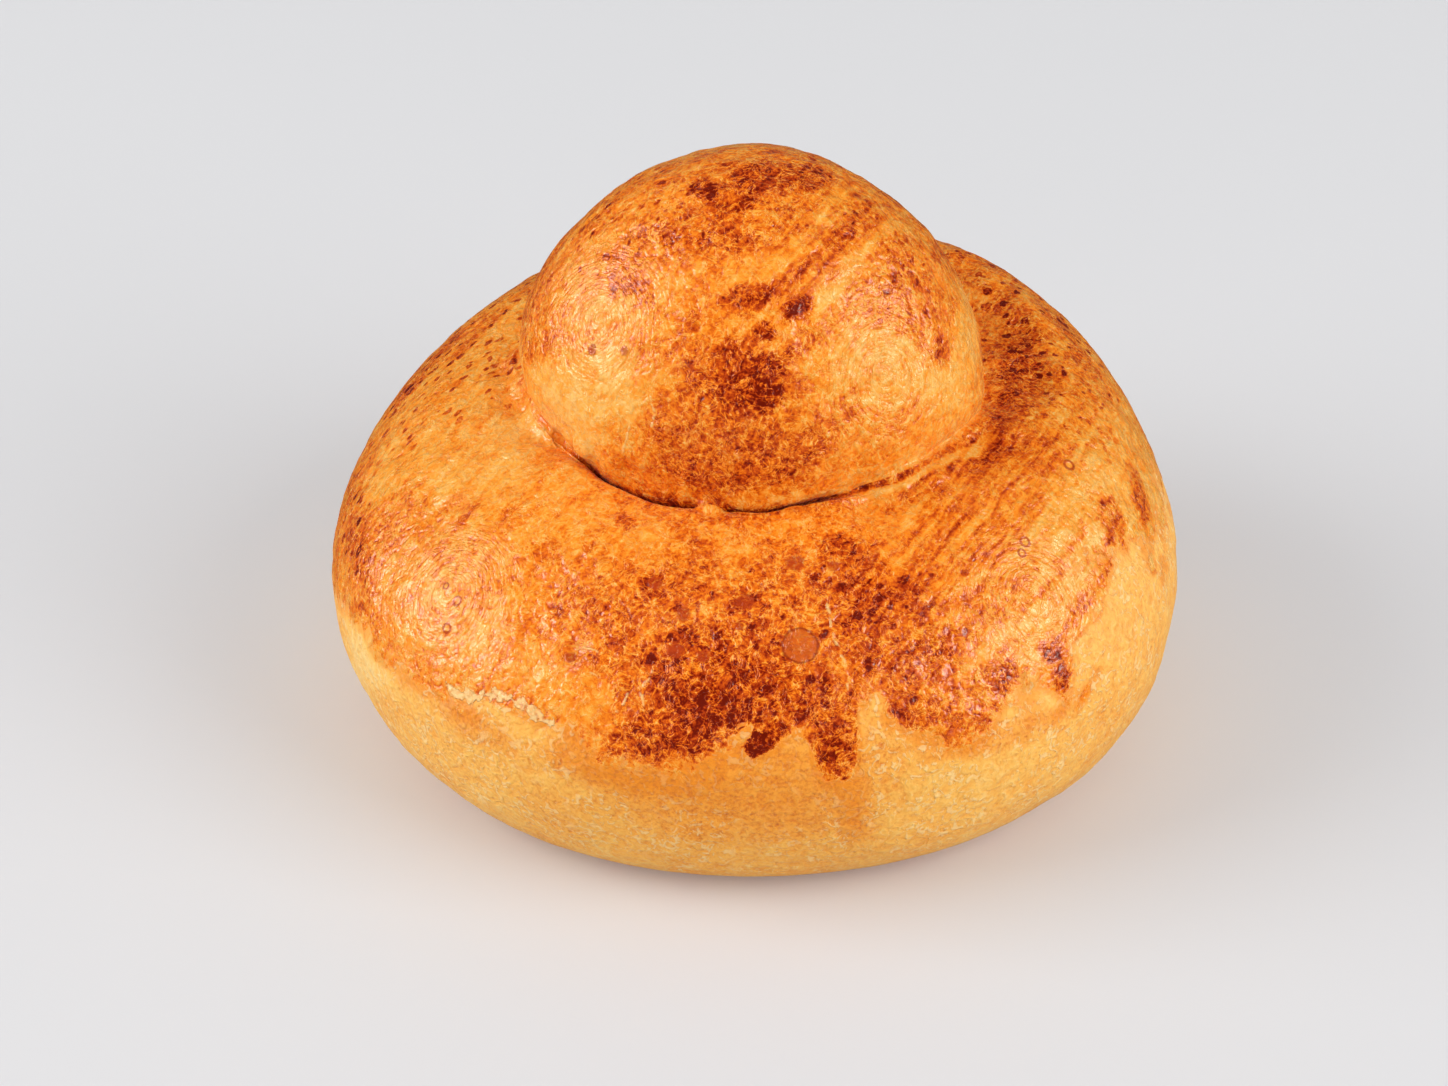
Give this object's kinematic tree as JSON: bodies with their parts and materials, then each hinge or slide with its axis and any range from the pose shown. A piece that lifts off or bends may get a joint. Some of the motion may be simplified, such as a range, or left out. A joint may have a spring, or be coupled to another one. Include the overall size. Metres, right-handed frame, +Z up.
{
  "type": "brioche bun",
  "caption": "Sicilian-style brioche with a topknot: a soft round bun with a ball of the same dough baked into its top, glazed and browned, flat underneath.",
  "frame": {"origin": "middle of the flat sole that the brioche rests on", "axes": "+Z up through the topknot; -Y is the front, the side the picture shows; +X is to the right as it is looked at from the front"},
  "size_m": [0.105, 0.1026, 0.0745],
  "materials": {
    "crust": "egg-washed, browned brioche crust with a soft gloss, paler round the belly"
  },
  "bodies": {
    "root": {"brioche": "crust"}
  },
  "joints": []
}
